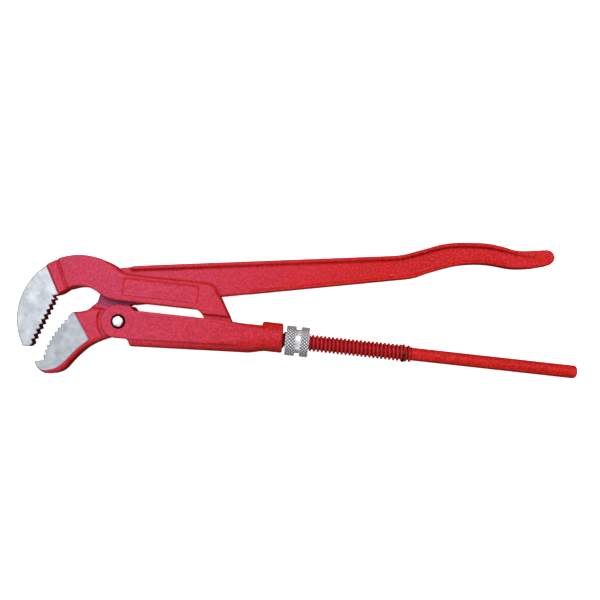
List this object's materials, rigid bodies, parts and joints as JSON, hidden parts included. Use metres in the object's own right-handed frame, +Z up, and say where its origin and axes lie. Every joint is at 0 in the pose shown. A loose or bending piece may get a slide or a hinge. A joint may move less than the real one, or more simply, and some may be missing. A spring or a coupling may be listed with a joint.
{
  "type": "pipe wrench",
  "caption": "Two-handled pipe wrench with toothed S-shaped jaws, a hinged I-section lever, and a sliding yoke set by a knurled nut on a threaded bar.",
  "frame": {"origin": "middle of the base of the tool's box, as it lies on its flank", "axes": "+X along the bar from the jaws to the handle ends, +Y from the bar to the lever, +Z up out of the upper flank"},
  "size_m": [0.4206, 0.1322, 0.0248],
  "materials": {
    "painted_forging": "semi-gloss red paint over a forged surface",
    "painted_bar": "gloss red paint",
    "ground_steel": "bare ground steel on the jaws' flanks",
    "blackened_steel": "dark oiled spring steel",
    "polished_rivet": "polished",
    "chromed_nut": "bright chrome over a diamond knurl"
  },
  "bodies": {
    "hook_and_bar": {"hook_jaw": "painted_forging", "threaded_bar": "painted_bar", "stop_ring": "blackened_steel"},
    "yoke_link": {"yoke": "painted_forging", "pivot_rivet": "polished_rivet"},
    "lever": {"lower_jaw_lever": "painted_forging"},
    "nut": {"adjusting_nut": "chromed_nut"}
  },
  "joints": [
    {"name": "yoke_slide", "type": "slide", "parent": "hook_and_bar", "child": "yoke_link", "axis": [1, 0, 0], "range_m": [-0.003, 0.038]},
    {"name": "lever_pivot", "type": "hinge", "parent": "yoke_link", "child": "lever", "pos_m": [-0.13345, -0.02189, 0.0124], "axis": [0, 0, 1], "range_deg": [-7, 5]},
    {"name": "nut_spin", "type": "hinge", "parent": "yoke_link", "child": "nut", "pos_m": [-0.00045, -0.02189, 0.0124], "axis": [1, 0, 0], "range_deg": [-365, 4565]}
  ],
  "couplings": [
    {"joint": "nut_spin", "follows": "yoke_slide", "rad_per_m": 2094.4}
  ]
}
